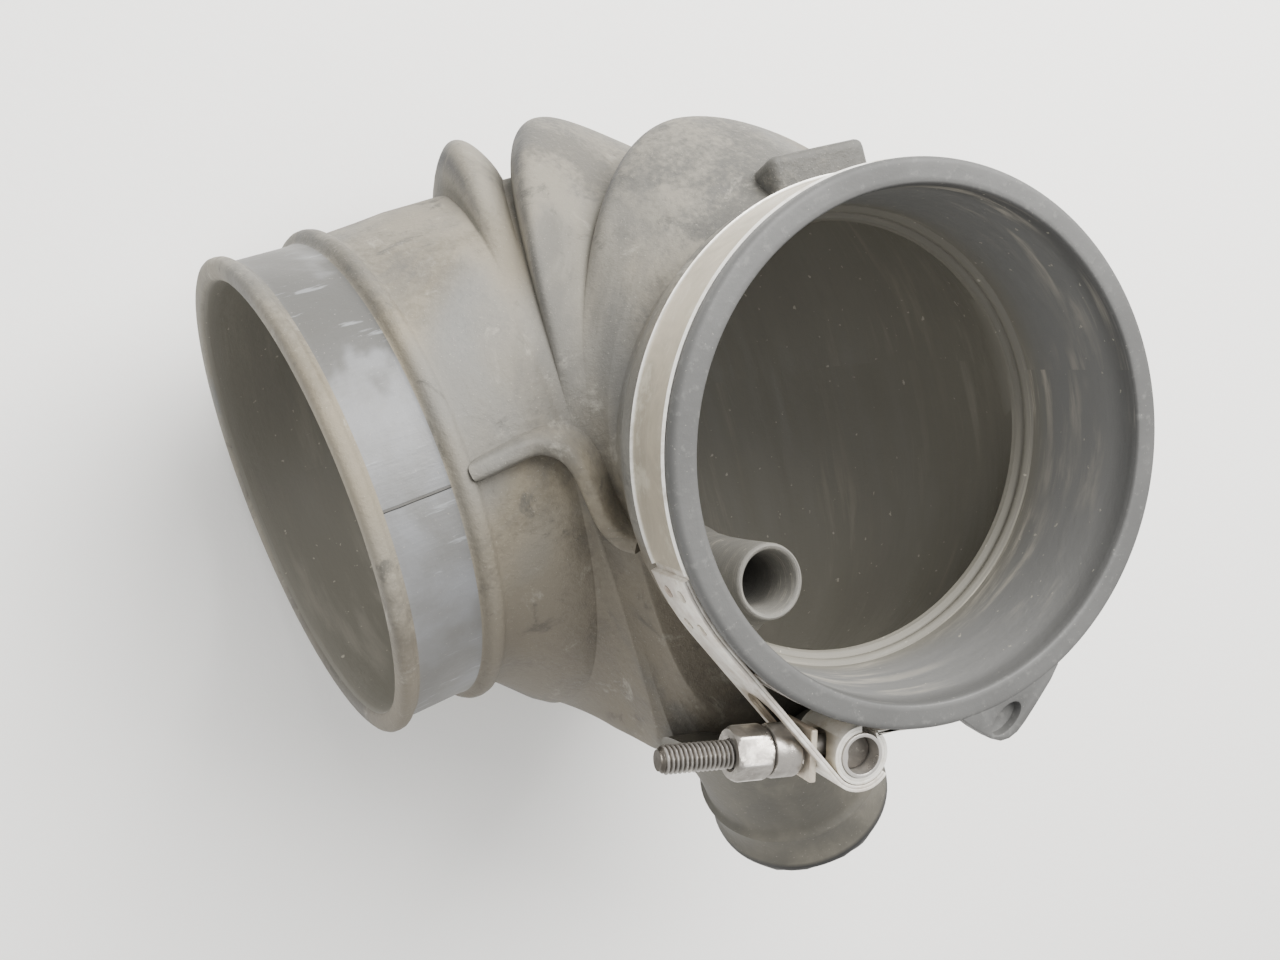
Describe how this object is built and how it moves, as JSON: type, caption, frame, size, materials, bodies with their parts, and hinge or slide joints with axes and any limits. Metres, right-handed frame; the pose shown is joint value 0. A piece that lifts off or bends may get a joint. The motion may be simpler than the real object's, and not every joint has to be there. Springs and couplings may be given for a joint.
{
  "type": "rubber air intake elbow hose with band clamp",
  "caption": "Moulded rubber intake elbow with accordion folds, two round cuffs, an angled side branch and an inner nozzle, with a T-bolt band clamp on the outlet.",
  "frame": {"origin": "centre of the outlet mouth, in the plane of its lip", "axes": "+Z out of the outlet mouth along its axis; the inlet faces -X, leaning 8 degrees towards +Z; the side branch points towards -Y"},
  "size_m": [0.1856, 0.1934, 0.1686],
  "materials": {
    "boot_rubber": "dusty moulded black rubber, greyed and worn",
    "lip_rubber": "clean slate-grey rubber lip",
    "band_zinc": "tan zinc-plated band steel, rubbed bright on the flared edges",
    "strap_zinc": "zinc-plated strap steel, dull and stained",
    "bolt_steel": "dull plated bolt steel",
    "nut_steel": "bright plated steel with worn corners"
  },
  "bodies": {
    "root": {"outlet_cuff": "lip_rubber", "locating_lug": "lip_rubber", "bellows": "boot_rubber", "side_branch": "boot_rubber", "inner_nozzle": "boot_rubber", "stiffening_rib": "boot_rubber", "clamp_band": "band_zinc", "bridge_tongue": "band_zinc", "slotted_strap": "strap_zinc", "saddle": "strap_zinc", "trunnion_strap": "strap_zinc", "spot_welds": "strap_zinc"},
    "inlet_end": {"inlet_cuff": "boot_rubber"},
    "bolt": {"t_bolt": "bolt_steel", "bolt_trunnion": "bolt_steel"},
    "sleeve": {"collar": "nut_steel"},
    "clamp_nut": {"nut": "nut_steel"}
  },
  "joints": [
    {"name": "bellows_flex", "type": "hinge", "parent": "root", "child": "inlet_end", "pos_m": [-0.06, 0.0194, -0.038], "axis": [0, 1, 0], "range_deg": [-5, 5], "stiffness_Nm_per_rad": 25, "deforming": ["bellows"]},
    {"name": "bolt_swing", "type": "hinge", "parent": "root", "child": "bolt", "pos_m": [-0.03152, -0.0557, -0.0123], "axis": [0, 0, 1], "range_deg": [-2, 2]},
    {"name": "sleeve_travel", "type": "slide", "parent": "bolt", "child": "sleeve", "axis": [-0.9409, 0.3387, 0], "range_m": [0, 0.012]},
    {"name": "nut_turn", "type": "hinge", "parent": "sleeve", "child": "clamp_nut", "pos_m": [-0.0525, -0.04815, -0.0123], "axis": [-0.9409, 0.3387, 0], "range_deg": [0, 4320]}
  ],
  "couplings": [
    {"joint": "nut_turn", "follows": "sleeve_travel", "rad_per_m": 6283.2}
  ]
}
